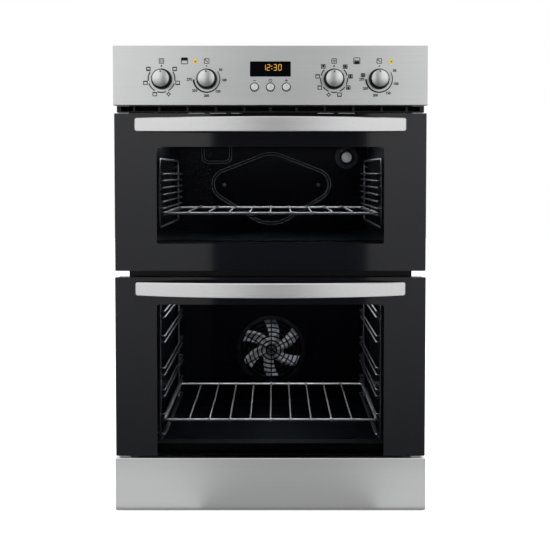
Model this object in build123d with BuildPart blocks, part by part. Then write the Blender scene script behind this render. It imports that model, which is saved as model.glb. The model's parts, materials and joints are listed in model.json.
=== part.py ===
from build123d import *
import os

# Built-in double wall oven.  +X right, the front faces -Y, +Z up.
# Origin: middle of the footprint on the underside of the base tray.
os.makedirs("parts", exist_ok=True)

# ---------------------------------------------------------------- driving sizes
width = 594.0  # over the fascia
height = 888.0  # base to top of fascia
depth = 568.0  # fascia face to rear cover, handles not counted
y_face = -depth / 2  # front face of fascia and bottom trim
y_back = depth / 2
sheet = 1.5

body_x = 272.5  # half width of the casing inside its side panels
y_frame = -242.0  # front face of the front frame
frame_t = 4.0
y_body = y_frame + frame_t

trim_z0, trim_z1 = 2.0, 102.5
low_z0, low_z1 = 106.5, 450.6  # main door
up_z0, up_z1 = 461.7, 761.0  # upper door
fascia_z0 = 775.6
up_half, low_half = 295.2, 295.7  # door half widths

glass_y = -283.0  # outer glass front
glass_t = 4.0
door_back = -249.0  # back of the door frame
inner_t = 3.0
pivot_in = 8.0  # hinge axis behind the outer glass face and above the door's lower edge
pivot_y = glass_y + pivot_in
hinge_x = 262.0

cav_x = 226.0
cav_y1 = 190.0
up_c0, up_c1 = 512.0, 735.0  # upper cavity floor and ceiling
low_c0, low_c1 = 112.0, 432.0  # main cavity floor and ceiling
up_o0, up_o1 = 518.0, 731.0  # frame openings
low_o0, low_o1 = 128.0, 428.0
open_x = 222.0

rack_x = 217.0
rung_x = 208.0
rack_y0, rack_y1 = -222.0, 176.0
wire_rack = 2.5
wire_rung = 1.8
up_rungs = (646.0, 632.5, 618.8, 605.3, 591.9, 578.4, 565.0)
low_rungs = (376.9, 364.5, 327.9, 315.6, 264.2, 251.1, 221.1, 208.8, 172.7, 160.6, 132.3)

knob_x = (-205.0, -120.0, 120.0, 205.0)
knob_z = 825.0
knob_r = 17.5
knob_ring_r = 19.3
button_x = (-30.0, 0.0, 30.0)
button_z = 809.7
display_w, display_h, display_z = 77.0, 28.6, 843.7
indicator_at = ((-141.4, 857.4), (227.4, 857.4))
ear_z = (160.0, 700.0)
ear_hole_x = 285.5

fan_z = 231.0

# ---------------------------------------------------------------- casing
with BuildPart() as base_plate:
    with BuildSketch(Plane.XY):
        with Locations((0, (y_body + 282.5) / 2)):
            Rectangle(2 * body_x, 282.5 - y_body)
    extrude(amount=12)
    with BuildSketch(Plane.XY.offset(sheet)):
        with Locations((0, (y_body + 282.5) / 2)):
            Rectangle(2 * body_x - 2 * sheet, 282.5 - y_body - 2 * sheet)
    extrude(amount=12, mode=Mode.SUBTRACT)
    # air inlet slots and pressed locating feet holes
    with BuildSketch(Plane.XY.offset(-1)):
        with Locations((0, 150)):
            with GridLocations(60, 16, 7, 4):
                SlotOverall(44, 6)
        with Locations((0, -150)):
            with GridLocations(60, 16, 7, 3):
                SlotOverall(44, 6)
    extrude(amount=4, mode=Mode.SUBTRACT)
base_plate.part.label = "base_plate"
export_step(base_plate.part, "parts/base_plate.step")

with BuildPart() as side_panel_left:
    with BuildSketch(Plane.YZ.offset(-body_x - 1.2)):
        with Locations(((y_body + 282.5) / 2, (sheet + 868) / 2)):
            Rectangle(282.5 - y_body, 868 - sheet)
    extrude(amount=1.2)
    with BuildSketch(Plane.YZ.offset(-body_x - 2)):
        with Locations((200, 800)):
            with GridLocations(14, 40, 8, 2):
                SlotOverall(30, 5, rotation=90)
        with Locations((200, 60)):
            with GridLocations(14, 40, 8, 2):
                SlotOverall(30, 5, rotation=90)
    extrude(amount=3, mode=Mode.SUBTRACT)
    # two pressed stiffening ribs, standing inwards
    with BuildSketch(Plane.YZ.offset(-body_x)):
        with Locations((20, 300), (20, 600)):
            SlotOverall(380, 14)
    extrude(amount=1.5)
side_panel_left.part.label = "side_panel_left"
export_step(side_panel_left.part, "parts/side_panel_left.step")

with BuildPart() as side_panel_right:
    with BuildSketch(Plane.YZ.offset(body_x)):
        with Locations(((y_body + 282.5) / 2, (sheet + 868) / 2)):
            Rectangle(282.5 - y_body, 868 - sheet)
    extrude(amount=1.2)
    with BuildSketch(Plane.YZ.offset(body_x - 1)):
        with Locations((200, 800)):
            with GridLocations(14, 40, 8, 2):
                SlotOverall(30, 5, rotation=90)
        with Locations((200, 60)):
            with GridLocations(14, 40, 8, 2):
                SlotOverall(30, 5, rotation=90)
    extrude(amount=3, mode=Mode.SUBTRACT)
    with BuildSketch(Plane.YZ.offset(body_x - 1.5)):
        with Locations((20, 300), (20, 600)):
            SlotOverall(380, 14)
    extrude(amount=1.5)
side_panel_right.part.label = "side_panel_right"
export_step(side_panel_right.part, "parts/side_panel_right.step")

with BuildPart() as rear_cover:
    with BuildSketch(Plane.XZ.offset(-282.5)):
        with Locations((0, 869.2 / 2)):
            Rectangle(2 * (body_x + 1.2), 869.2)
    extrude(amount=-sheet)
    with BuildSketch(Plane.XZ.offset(-280)):
        with Locations((0, 800)):
            with GridLocations(52, 16, 8, 4):
                SlotOverall(40, 6)
        with Locations((0, fan_z)):
            with PolarLocations(44, 8):
                SlotOverall(26, 5)
        with Locations((0, 640)):
            with GridLocations(52, 16, 8, 3):
                SlotOverall(40, 6)
        with Locations((215, 60)):
            Rectangle(46, 30)
    extrude(amount=-6, mode=Mode.SUBTRACT)
rear_cover.part.label = "rear_cover"
export_step(rear_cover.part, "parts/rear_cover.step")

with BuildPart() as top_cover:
    with BuildSketch(Plane.XY.offset(868)):
        with Locations((0, (y_body + 282.5) / 2)):
            Rectangle(2 * (body_x + 1.2), 282.5 - y_body)
    extrude(amount=1.2)
    with BuildSketch(Plane.XY.offset(867)):
        with Locations((0, 190)):
            with GridLocations(52, 16, 8, 5):
                SlotOverall(40, 6)
    extrude(amount=3, mode=Mode.SUBTRACT)
    # pressed field standing down into the casing
    with BuildSketch(Plane.XY.offset(866.5)):
        with Locations((0, 0)):
            RectangleRounded(420, 150, 20)
            RectangleRounded(400, 130, 14, mode=Mode.SUBTRACT)
    extrude(amount=1.5)
top_cover.part.label = "top_cover"
export_step(top_cover.part, "parts/top_cover.step")

# front frame: one enamelled plate with both oven mouths and four fixing ears
with BuildPart() as front_frame:
    with BuildSketch(Plane.XZ.offset(-y_body)):
        with Locations((0, (12 + 762) / 2)):
            Rectangle(2 * (body_x + 1.2), 762 - 12)
        for z in ear_z:
            with Locations((0, z)):
                RectangleRounded(2 * 293.0, 34, 5)
        with Locations((0, (up_o0 + up_o1) / 2)):
            RectangleRounded(2 * open_x, up_o1 - up_o0, 8, mode=Mode.SUBTRACT)
        with Locations((0, (low_o0 + low_o1) / 2)):
            RectangleRounded(2 * open_x, low_o1 - low_o0, 8, mode=Mode.SUBTRACT)
        # room for the cross rails between the two posts
        for z0, z1 in ((12, low_o0), (low_o1, up_o0), (up_o1, 762)):
            with Locations((0, (z0 + z1) / 2)):
                Rectangle(2 * open_x, z1 - z0, mode=Mode.SUBTRACT)
        for z in ear_z:
            with Locations((-ear_hole_x, z), (ear_hole_x, z)):
                Circle(3.0, mode=Mode.SUBTRACT)
    extrude(amount=frame_t)
front_frame.part.label = "front_frame"
export_step(front_frame.part, "parts/front_frame.step")

# cross rails over, between and under the two ovens, welded to the posts
with BuildPart() as front_rails:
    with BuildSketch(Plane.XZ.offset(-y_body)):
        for z0, z1 in ((12, low_o0), (low_o1, up_o0), (up_o1, 762)):
            with Locations((0, (z0 + z1) / 2)):
                Rectangle(2 * open_x, z1 - z0)
        # shallow air slots between the two ovens
        with Locations((0, 478)):
            with GridLocations(60, 1, 7, 1):
                SlotOverall(44, 5, mode=Mode.SUBTRACT)
    extrude(amount=frame_t)
front_rails.part.label = "front_rails"
export_step(front_rails.part, "parts/front_rails.step")

# ---------------------------------------------------------------- cavities
with BuildPart() as upper_cavity:
    with BuildSketch(Plane.XZ.offset(-y_body)):
        with Locations((0, (up_c0 + up_c1) / 2)):
            RectangleRounded(2 * (cav_x + sheet), up_c1 - up_c0 + 2 * sheet, 21.5)
            RectangleRounded(2 * cav_x, up_c1 - up_c0, 20, mode=Mode.SUBTRACT)
    extrude(amount=-(cav_y1 - y_body))
    # pressed rib round the floor
    with BuildSketch(Plane.XY.offset(up_c0)):
        with Locations((0, -20)):
            RectangleRounded(370, 330, 60)
            RectangleRounded(356, 316, 53, mode=Mode.SUBTRACT)
    extrude(amount=2.0)
    # side wall ribs
    with BuildSketch(Plane.YZ.offset(-cav_x)):
        with Locations((-20, 600)):
            RectangleRounded(330, 120, 16)
            RectangleRounded(322, 112, 12, mode=Mode.SUBTRACT)
    extrude(amount=1.6)
    with BuildSketch(Plane.YZ.offset(cav_x - 1.6)):
        with Locations((-20, 600)):
            RectangleRounded(330, 120, 16)
            RectangleRounded(322, 112, 12, mode=Mode.SUBTRACT)
    extrude(amount=1.6)
upper_cavity.part.label = "upper_cavity"
export_step(upper_cavity.part, "parts/upper_cavity.step")

with BuildPart() as upper_cavity_back:
    with BuildSketch(Plane.XZ.offset(-cav_y1)):
        with Locations((0, (up_c0 + up_c1) / 2)):
            RectangleRounded(2 * (cav_x + sheet), up_c1 - up_c0 + 2 * sheet, 21.5)
        with Locations((176, 684)):
            Circle(21, mode=Mode.SUBTRACT)
    extrude(amount=-sheet)
    # embossed rounded diamond with two raised lines
    for grow in (0, 12):
        with BuildSketch(Plane.XZ.offset(-cav_y1)):
            with BuildLine():
                FilletPolyline(
                    (-140 + grow, 618),
                    (-52, 691 - grow * 0.85),
                    (52, 691 - grow * 0.85),
                    (140 - grow, 618),
                    (52, 525 + grow * 0.85),
                    (-52, 525 + grow * 0.85),
                    radius=26,
                    close=True,
                )
            make_face()
            offset(amount=-3.2, mode=Mode.SUBTRACT)
        extrude(amount=1.8)
    # small embossed field at the upper left
    with BuildSketch(Plane.XZ.offset(-cav_y1)):
        with Locations((-127.5, 692)):
            RectangleRounded(72, 52, 12)
            RectangleRounded(66, 46, 9, mode=Mode.SUBTRACT)
    extrude(amount=1.6)
    # two screws that hold the panel
    with Locations(Plane.XZ.offset(-cav_y1)):
        with Locations((-109.9, 619.5), (109.9, 619.5)):
            Cylinder(4.2, 2.4, align=(Align.CENTER, Align.CENTER, Align.MIN))
upper_cavity_back.part.label = "upper_cavity_back"
export_step(upper_cavity_back.part, "parts/upper_cavity_back.step")

with BuildPart() as main_cavity:
    with BuildSketch(Plane.XZ.offset(-y_body)):
        with Locations((0, (low_c0 + low_c1) / 2)):
            RectangleRounded(2 * (cav_x + sheet), low_c1 - low_c0 + 2 * sheet, 21.5)
            RectangleRounded(2 * cav_x, low_c1 - low_c0, 20, mode=Mode.SUBTRACT)
    extrude(amount=-(cav_y1 - y_body))
    with BuildSketch(Plane.XY.offset(low_c0)):
        with Locations((0, -20)):
            RectangleRounded(370, 330, 60)
            RectangleRounded(356, 316, 53, mode=Mode.SUBTRACT)
    extrude(amount=2.0)
    with BuildSketch(Plane.YZ.offset(-cav_x)):
        with Locations((-20, 272)):
            RectangleRounded(330, 220, 16)
            RectangleRounded(322, 212, 12, mode=Mode.SUBTRACT)
    extrude(amount=1.6)
    with BuildSketch(Plane.YZ.offset(cav_x - 1.6)):
        with Locations((-20, 272)):
            RectangleRounded(330, 220, 16)
            RectangleRounded(322, 212, 12, mode=Mode.SUBTRACT)
    extrude(amount=1.6)
main_cavity.part.label = "main_cavity"
export_step(main_cavity.part, "parts/main_cavity.step")

fan_box = 112.0
with BuildPart() as main_cavity_back:
    with BuildSketch(Plane.XZ.offset(-cav_y1)):
        with Locations((0, (low_c0 + low_c1) / 2)):
            RectangleRounded(2 * (cav_x + sheet), low_c1 - low_c0 + 2 * sheet, 21.5)
        with Locations((0, fan_z)):
            Circle(72, mode=Mode.SUBTRACT)
        # warm air outlets each side of the fan
        with Locations((-100, fan_z), (100, fan_z)):
            with GridLocations(1, 16, 1, 8):
                SlotOverall(12, 5, mode=Mode.SUBTRACT)
    extrude(amount=-sheet)
    # fan chamber behind the wall
    with BuildSketch(Plane.XZ.offset(-cav_y1 - sheet)):
        with Locations((0, fan_z)):
            RectangleRounded(2 * fan_box, 2 * fan_box, 16)
            RectangleRounded(2 * fan_box - 3, 2 * fan_box - 3, 14.5, mode=Mode.SUBTRACT)
    extrude(amount=-30)
    with BuildSketch(Plane.XZ.offset(-cav_y1 - sheet - 30)):
        with Locations((0, fan_z)):
            RectangleRounded(2 * fan_box, 2 * fan_box, 16)
            Circle(9, mode=Mode.SUBTRACT)
        with Locations((-12, fan_z + 86), (12, fan_z + 86)):
            Circle(3.6, mode=Mode.SUBTRACT)
    extrude(amount=-sheet)
    # raised border on the cavity side
    with BuildSketch(Plane.XZ.offset(-cav_y1)):
        with Locations((0, 270)):
            RectangleRounded(404, 276, 26)
            RectangleRounded(396, 268, 22, mode=Mode.SUBTRACT)
    extrude(amount=1.6)
main_cavity_back.part.label = "main_cavity_back"
export_step(main_cavity_back.part, "parts/main_cavity_back.step")

with BuildPart() as fan_cover:
    with BuildSketch(Plane.XZ.offset(-(cav_y1 - 4))):
        with Locations((0, fan_z)):
            Circle(80)
            # slot rings, from the outside in
            for i in range(6, -1, -1):
                r_out = 10.2 + 10.3 * i
                Circle(r_out, mode=Mode.SUBTRACT)
                Circle(r_out - 6.6)
            # bridges between the rings
            for a in (30, 90, 150):
                Rectangle(150, 3.0, rotation=a)
    extrude(amount=1.2)
    with BuildSketch(Plane.XZ.offset(-cav_y1)):
        with Locations((0, fan_z)):
            Circle(80)
            Circle(77.5, mode=Mode.SUBTRACT)
    extrude(amount=4)
fan_cover.part.label = "fan_cover"
export_step(fan_cover.part, "parts/fan_cover.step")

with BuildPart() as convection_fan:
    with BuildSketch(Plane.XZ.offset(-(cav_y1 + 22))):
        with Locations((0, fan_z)):
            Circle(30)
    extrude(amount=1.2)
    # six swept blades, each a curved band standing forwards from the disc
    for k in range(6):
        a = 60 * k
        with BuildSketch(Plane.XZ.offset(-(cav_y1 + 22))):
            with Locations(Pos(0, fan_z, 0) * Rot(0, 0, a)):
                with BuildLine(mode=Mode.PRIVATE) as blade_line:
                    ThreePointArc((12, -6), (40, 6), (63, 34))
                    Line((63, 34), (50, 44))
                    ThreePointArc((50, 44), (30, 20), (8, 10))
                    Line((8, 10), (12, -6))
                add(make_face(blade_line.edges(), mode=Mode.PRIVATE))
        extrude(amount=1.2)
        with BuildSketch(Plane.XZ.offset(-(cav_y1 + 20.8))):
            with Locations(Pos(0, fan_z, 0) * Rot(0, 0, a)):
                with BuildLine(mode=Mode.PRIVATE) as rib_line:
                    ThreePointArc((14, -5), (40, 6.6), (62, 33))
                    Line((62, 33), (61, 34.2))
                    ThreePointArc((61, 34.2), (39.3, 8), (14, -3.4))
                    Line((14, -3.4), (14, -5))
                add(make_face(rib_line.edges(), mode=Mode.PRIVATE))
        extrude(amount=13)
    with Locations(Plane.XZ.offset(-(cav_y1 + 22))):
        with Locations((0, fan_z)):
            Cylinder(9, 14, align=(Align.CENTER, Align.CENTER, Align.MIN))
    with Locations(Plane.XZ.offset(-(cav_y1 + 22))):
        with Locations((0, fan_z)):
            Cylinder(4, 30, align=(Align.CENTER, Align.CENTER, Align.MAX))
convection_fan.part.label = "convection_fan"
export_step(convection_fan.part, "parts/convection_fan.step")

with BuildPart() as fan_motor:
    with BuildSketch(Plane.XZ.offset(-(cav_y1 + 33))):
        with Locations((0, fan_z)):
            RectangleRounded(76, 62, 8)
            Circle(4.06, mode=Mode.SUBTRACT)
    extrude(amount=-22)
    with BuildSketch(Plane.XZ.offset(-(cav_y1 + 55))):
        with Locations((0, fan_z)):
            Circle(26)
    extrude(amount=-16)
    with BuildSketch(Plane.XZ.offset(-(cav_y1 + 33))):
        with Locations((0, fan_z)):
            SlotOverall(130, 14)
            Circle(4.06, mode=Mode.SUBTRACT)
    extrude(amount=-2)
fan_motor.part.label = "fan_motor"
export_step(fan_motor.part, "parts/fan_motor.step")

with BuildPart() as ring_element:
    with Locations(Plane((0, cav_y1 + 16, fan_z), x_dir=(1, 0, 0), z_dir=(0, -1, 0))):
        Torus(86, 3.2)
    with Locations(Plane((0, cav_y1 + 16, fan_z), x_dir=(1, 0, 0), z_dir=(0, -1, 0))):
        with Locations((-12, 86), (12, 86)):
            Cylinder(3.2, 34, align=(Align.CENTER, Align.CENTER, Align.MAX))
ring_element.part.label = "ring_element"
export_step(ring_element.part, "parts/ring_element.step")


with BuildPart() as upper_grill_element:
    with BuildLine() as grill_path:
        FilletPolyline(
            (-30, 190, 718), (-30, 150, 718), (-180, 150, 718), (-180, -170, 718), (-110, -170, 718),
            (-110, 105, 718), (-40, 105, 718), (-40, -170, 718), (40, -170, 718), (40, 105, 718),
            (110, 105, 718), (110, -170, 718), (180, -170, 718), (180, 150, 718), (30, 150, 718), (30, 190, 718),
            radius=16,
        )
    with BuildSketch(Plane(origin=(-30, 190, 718), x_dir=(1, 0, 0), z_dir=(0, -1, 0))):
        Circle(3.2)
    sweep()
upper_grill_element.part.label = "upper_grill_element"
export_step(upper_grill_element.part, "parts/upper_grill_element.step")

with BuildPart() as main_grill_element:
    with BuildLine() as main_grill_path:
        FilletPolyline(
            (-30, 190, 415), (-30, 150, 415), (-180, 150, 415), (-180, -170, 415), (-110, -170, 415),
            (-110, 105, 415), (-40, 105, 415), (-40, -170, 415), (40, -170, 415), (40, 105, 415),
            (110, 105, 415), (110, -170, 415), (180, -170, 415), (180, 150, 415), (30, 150, 415), (30, 190, 415),
            radius=16,
        )
    with BuildSketch(Plane(origin=(-30, 190, 415), x_dir=(1, 0, 0), z_dir=(0, -1, 0))):
        Circle(3.2)
    sweep()
main_grill_element.part.label = "main_grill_element"
export_step(main_grill_element.part, "parts/main_grill_element.step")

# ---------------------------------------------------------------- side racks
for rack_name, side, rungs, rack_lo, rack_hi in (
    ("upper_rack_left", -1, up_rungs, 540.0, 675.0),
    ("upper_rack_right", 1, up_rungs, 540.0, 675.0),
    ("main_rack_left", -1, low_rungs, 121.0, 398.0),
    ("main_rack_right", 1, low_rungs, 121.0, 398.0),
):
    with BuildPart() as rack:
        # closed outer loop of thicker wire
        with BuildLine(Plane.YZ.offset(side * rack_x)):
            FilletPolyline(
                (rack_y0, rack_lo), (rack_y0, rack_hi), (rack_y1, rack_hi), (rack_y1, rack_lo),
                radius=10,
                close=True,
            )
        with BuildSketch(Plane(origin=(side * rack_x, rack_y0, (rack_lo + rack_hi) / 2), x_dir=(1, 0, 0), z_dir=(0, 0, 1))):
            Circle(wire_rack)
        sweep()
        # runners: stub in from each upright, then straight back
        for z in rungs:
            with BuildLine():
                FilletPolyline(
                    (side * rack_x, rack_y0, z),
                    (side * rung_x, rack_y0 - 0.01, z),
                    (side * rung_x, rack_y1 + 0.01, z),
                    (side * rack_x, rack_y1, z),
                    radius=3.2,
                )
            with BuildSketch(Plane(origin=(side * rack_x, rack_y0, z), x_dir=(0, 0, 1), z_dir=(-side, 0, 0))):
                Circle(wire_rung)
            sweep()
        # fixing pegs into the cavity side
        for z in (rack_lo + 14, rack_hi - 14):
            with Locations(Plane((side * rack_x, rack_y0 + 0, z), x_dir=(0, 1, 0), z_dir=(side, 0, 0))):
                Cylinder(2.2, cav_x - rack_x, align=(Align.CENTER, Align.CENTER, Align.MIN))
            with Locations(Plane((side * rack_x, rack_y1 + 0, z), x_dir=(0, 1, 0), z_dir=(side, 0, 0))):
                Cylinder(2.2, cav_x - rack_x, align=(Align.CENTER, Align.CENTER, Align.MIN))
    rack.part.label = rack_name
    export_step(rack.part, "parts/" + rack_name + ".step")

# ---------------------------------------------------------------- shelves
shelf_y0, shelf_y1 = -236.5, 114.0
cross_pitch = 39.6
for shelf_name, rung_z in (("upper_shelf", 565.0), ("main_shelf", 160.6)):
    sz = rung_z + wire_rung + 0.4 + 2.5
    with BuildPart() as shelf:
        with BuildLine(Plane.XY.offset(sz)):
            FilletPolyline(
                (-rung_x, shelf_y0), (rung_x, shelf_y0), (rung_x, shelf_y1), (-rung_x, shelf_y1),
                radius=9,
                close=True,
            )
        with BuildSketch(Plane(origin=(0, shelf_y0, sz), x_dir=(0, 1, 0), z_dir=(1, 0, 0))):
            Circle(2.5)
        sweep()
        # inner side wires
        for x in (-199.5, 199.5):
            with Locations(Plane((x, shelf_y0, sz), x_dir=(1, 0, 0), z_dir=(0, 1, 0))):
                Cylinder(2.5, shelf_y1 - shelf_y0, align=(Align.CENTER, Align.CENTER, Align.MIN))
        # thin cross wires, hooked down over the front wire
        for i in range(9):
            x = (i - 4) * cross_pitch
            with BuildLine():
                FilletPolyline(
                    (x, shelf_y0 - 2.4, sz - 3.4),
                    (x, shelf_y0 - 2.4, sz + 3.6),
                    (x, shelf_y1 + 1.0, sz + 3.6),
                    radius=2.4,
                )
            with BuildSketch(Plane(origin=(x, shelf_y0 - 2.4, sz - 3.4), x_dir=(1, 0, 0), z_dir=(0, 0, 1))):
                Circle(1.5)
            sweep()
    shelf.part.label = shelf_name
    export_step(shelf.part, "parts/" + shelf_name + ".step")

# ---------------------------------------------------------------- lamp of the upper oven
with BuildPart() as upper_lamp_bezel:
    with BuildSketch(Plane.XZ.offset(-cav_y1)):
        with Locations((176, 684)):
            Circle(28.5)
            Circle(17.5, mode=Mode.SUBTRACT)
    extrude(amount=3.0)
    with BuildSketch(Plane.XZ.offset(-cav_y1)):
        with Locations((176, 684)):
            Circle(21)
            Circle(19.5, mode=Mode.SUBTRACT)
    extrude(amount=-26)
    with BuildSketch(Plane.XZ.offset(-cav_y1 - 26)):
        with Locations((176, 684)):
            Circle(21)
    extrude(amount=-2)
    fillet(upper_lamp_bezel.edges().filter_by(GeomType.CIRCLE).filter_by(lambda e: abs(e.radius - 28.5) < 0.01).sort_by(Axis.Y)[0], 2.0)
upper_lamp_bezel.part.label = "upper_lamp_bezel"
export_step(upper_lamp_bezel.part, "parts/upper_lamp_bezel.step")

with BuildPart() as upper_lamp_lens:
    with Locations(Plane((176, cav_y1, 684), x_dir=(1, 0, 0), z_dir=(0, -1, 0))):
        Cylinder(17.5, 3.0, align=(Align.CENTER, Align.CENTER, Align.MIN))
        Cylinder(14.5, 8.0, align=(Align.CENTER, Align.CENTER, Align.MIN))
    fillet(upper_lamp_lens.faces().sort_by(Axis.Y)[0].edges(), 4.5)
upper_lamp_lens.part.label = "upper_lamp_lens"
export_step(upper_lamp_lens.part, "parts/upper_lamp_lens.step")

# ---------------------------------------------------------------- door seals
for seal_name, z0, z1 in (("gasket_upper", up_o0 - 3.5, up_o1 + 3.5), ("gasket_main", low_o0 - 3.5, low_o1 + 3.5)):
    with BuildPart() as seal:
        with BuildSketch(Plane.XZ.offset(-y_frame)):
            with Locations((0, (z0 + z1) / 2)):
                RectangleRounded(2 * (open_x + 11.5), z1 - z0 + 14, 28)
                RectangleRounded(2 * (open_x + 4.5), z1 - z0, 21, mode=Mode.SUBTRACT)
        extrude(amount=3.5)
        fillet(seal.faces().sort_by(Axis.Y)[0].edges(), 1.6)
    seal.part.label = seal_name
    export_step(seal.part, "parts/" + seal_name + ".step")

# ---------------------------------------------------------------- control panel
with BuildPart() as fascia:
    with BuildSketch(Plane.XZ.offset(-(y_face + 20))):
        with Locations((0, (fascia_z0 + height) / 2)):
            RectangleRounded(width, height - fascia_z0, 1.5)
    extrude(amount=20)
    fillet(fascia.faces().sort_by(Axis.Y)[0].edges(), 1.2)
    with BuildSketch(Plane.XZ.offset(-(y_face + sheet))):
        with Locations((0, (fascia_z0 + height) / 2)):
            Rectangle(width - 2 * sheet, height - fascia_z0 - 2 * sheet)
    extrude(amount=-30, mode=Mode.SUBTRACT)
    with BuildSketch(Plane.XZ.offset(-(y_face - 1))):
        with Locations(*[(x, knob_z) for x in knob_x]):
            Circle(6)
        with Locations(*[(x, button_z) for x in button_x]):
            Circle(7.2)
        with Locations((0, display_z)):
            RectangleRounded(display_w, display_h, 1.5)
        with Locations(*indicator_at):
            RectangleRounded(7.6, 7.6, 0.8)
    extrude(amount=-6, mode=Mode.SUBTRACT)
fascia.part.label = "fascia"
export_step(fascia.part, "parts/fascia.step")

with BuildPart() as control_chassis:
    with BuildSketch(Plane.XZ.offset(264)):
        with Locations((0, 832)):
            Rectangle(2 * 295, 108)
        with Locations(*[(x, knob_z) for x in knob_x]):
            Circle(6, mode=Mode.SUBTRACT)
    extrude(amount=-sheet)
    # tray that runs back between the side panels
    with BuildSketch(Plane.XY.offset(778)):
        with Locations((0, (-262.5 - 120) / 2)):
            Rectangle(2 * 271, 142.5)
        with Locations((0, -190)):
            with GridLocations(70, 20, 6, 3):
                SlotOverall(50, 7, mode=Mode.SUBTRACT)
    extrude(amount=1.2)
    # end cheeks
    for x in (-271, 269.8):
        with BuildSketch(Plane.YZ.offset(x)):
            with Locations((-191.25, 815)):
                Rectangle(142.5, 74)
        extrude(amount=1.2)
control_chassis.part.label = "control_chassis"
export_step(control_chassis.part, "parts/control_chassis.step")

with BuildPart() as display_lens:
    with BuildSketch(Plane.XZ.offset(280.5)):
        with Locations((0, display_z)):
            RectangleRounded(display_w, display_h, 1.5)
    extrude(amount=3.4)
display_lens.part.label = "display_lens"
export_step(display_lens.part, "parts/display_lens.step")

with BuildPart() as timer_module:
    with BuildSketch(Plane.XZ.offset(264)):
        with Locations((0, 842)):
            Rectangle(92, 42)
    extrude(amount=16.5)
    # circuit board with the three switches
    with BuildSketch(Plane.XZ.offset(264)):
        with Locations((0, 832)):
            Rectangle(92, 62)
    extrude(amount=1.6)
    with BuildSketch(Plane.XZ.offset(264)):
        with Locations(*[(x, button_z) for x in button_x]):
            Rectangle(14, 14)
    extrude(amount=6)
    with BuildSketch(Plane.XZ.offset(263)):
        with Locations(*[(x, button_z) for x in button_x]):
            Circle(2.4)
    extrude(amount=9, mode=Mode.SUBTRACT)
timer_module.part.label = "timer_module"
export_step(timer_module.part, "parts/timer_module.step")

with BuildPart() as indicator_lenses:
    with BuildSketch(Plane.XZ.offset(279)):
        with Locations(*indicator_at):
            RectangleRounded(7.6, 7.6, 0.8)
    extrude(amount=5.2)
indicator_lenses.part.label = "indicator_lenses"
export_step(indicator_lenses.part, "parts/indicator_lenses.step")

with BuildPart() as selector_switches:
    with BuildSketch(Plane.XZ.offset(262.5)):
        with Locations(*[(x, knob_z) for x in knob_x]):
            RectangleRounded(40, 40, 3)
            Circle(3.06, mode=Mode.SUBTRACT)
    extrude(amount=-28)
    with BuildSketch(Plane.XZ.offset(234.5)):
        with Locations(*[(x, knob_z) for x in knob_x]):
            RectangleRounded(32, 26, 3)
    extrude(amount=-10)
selector_switches.part.label = "selector_switches"
export_step(selector_switches.part, "parts/selector_switches.step")

for i, x in enumerate(knob_x):
    with BuildPart() as core:
        with Locations(Plane((x, -284.5, knob_z), x_dir=(1, 0, 0), z_dir=(0, -1, 0))):
            Cylinder(knob_ring_r, 3.5, align=(Align.CENTER, Align.CENTER, Align.MIN))
            Cylinder(15.5, 20.0, align=(Align.CENTER, Align.CENTER, Align.MIN))
            Cylinder(3.0, 46.0, align=(Align.CENTER, Align.CENTER, Align.MAX))
        # flat on the spindle end
        with Locations((x, -243, knob_z + 3.4)):
            Box(8, 9, 2, mode=Mode.SUBTRACT)
    core.part.label = "knob_core_" + str(i + 1)
    export_step(core.part, "parts/knob_core_" + str(i + 1) + ".step")
    with BuildPart() as cap:
        with Locations(Plane((x, -288.0, knob_z), x_dir=(1, 0, 0), z_dir=(0, -1, 0))):
            Cylinder(knob_r, 18.5, align=(Align.CENTER, Align.CENTER, Align.MIN))
        fillet(cap.faces().sort_by(Axis.Y)[0].edges(), 1.6)
        with Locations(Plane((x, -288.0, knob_z), x_dir=(1, 0, 0), z_dir=(0, -1, 0))):
            Cylinder(15.5, 16.5, align=(Align.CENTER, Align.CENTER, Align.MIN), mode=Mode.SUBTRACT)
        # pointer dimple
        with Locations(Plane((x, -306.5, knob_z + 13.4), x_dir=(1, 0, 0), z_dir=(0, -1, 0))):
            Cylinder(1.2, 1.0, mode=Mode.SUBTRACT)
    cap.part.label = "knob_cap_" + str(i + 1)
    export_step(cap.part, "parts/knob_cap_" + str(i + 1) + ".step")

for name, x in zip(("button_minus", "button_clock", "button_plus"), button_x):
    with BuildPart() as button:
        with Locations(Plane((x, -276.0, button_z), x_dir=(1, 0, 0), z_dir=(0, -1, 0))):
            Cylinder(6.75, 11.5, align=(Align.CENTER, Align.CENTER, Align.MIN))
            Cylinder(2.0, 9.0, align=(Align.CENTER, Align.CENTER, Align.MAX))
        fillet(button.faces().sort_by(Axis.Y)[0].edges(), 1.0)
    button.part.label = name
    export_step(button.part, "parts/" + name + ".step")

# ---------------------------------------------------------------- vent strip and bottom trim
with BuildPart() as vent_trim:
    with BuildSketch(Plane.XZ.offset(-y_frame)):
        with Locations((0, 769.55)):
            Rectangle(2 * 293, 12.1)
    extrude(amount=20)
    with BuildSketch(Plane.XZ.offset(-y_frame - 20)):
        # air slots between upright vanes
        for x0, x1 in ((-285, -262), (-258, -214), (-210, -160), (-156, -106), (-102, -52), (-48, -3), (3, 48), (52, 102), (106, 156), (160, 210), (214, 258), (262, 285)):
            with Locations(((x0 + x1) / 2, 769.9)):
                Rectangle(x1 - x0, 9.0)
    extrude(amount=60, both=True, mode=Mode.SUBTRACT)
vent_trim.part.label = "vent_trim"
export_step(vent_trim.part, "parts/vent_trim.step")

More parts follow.
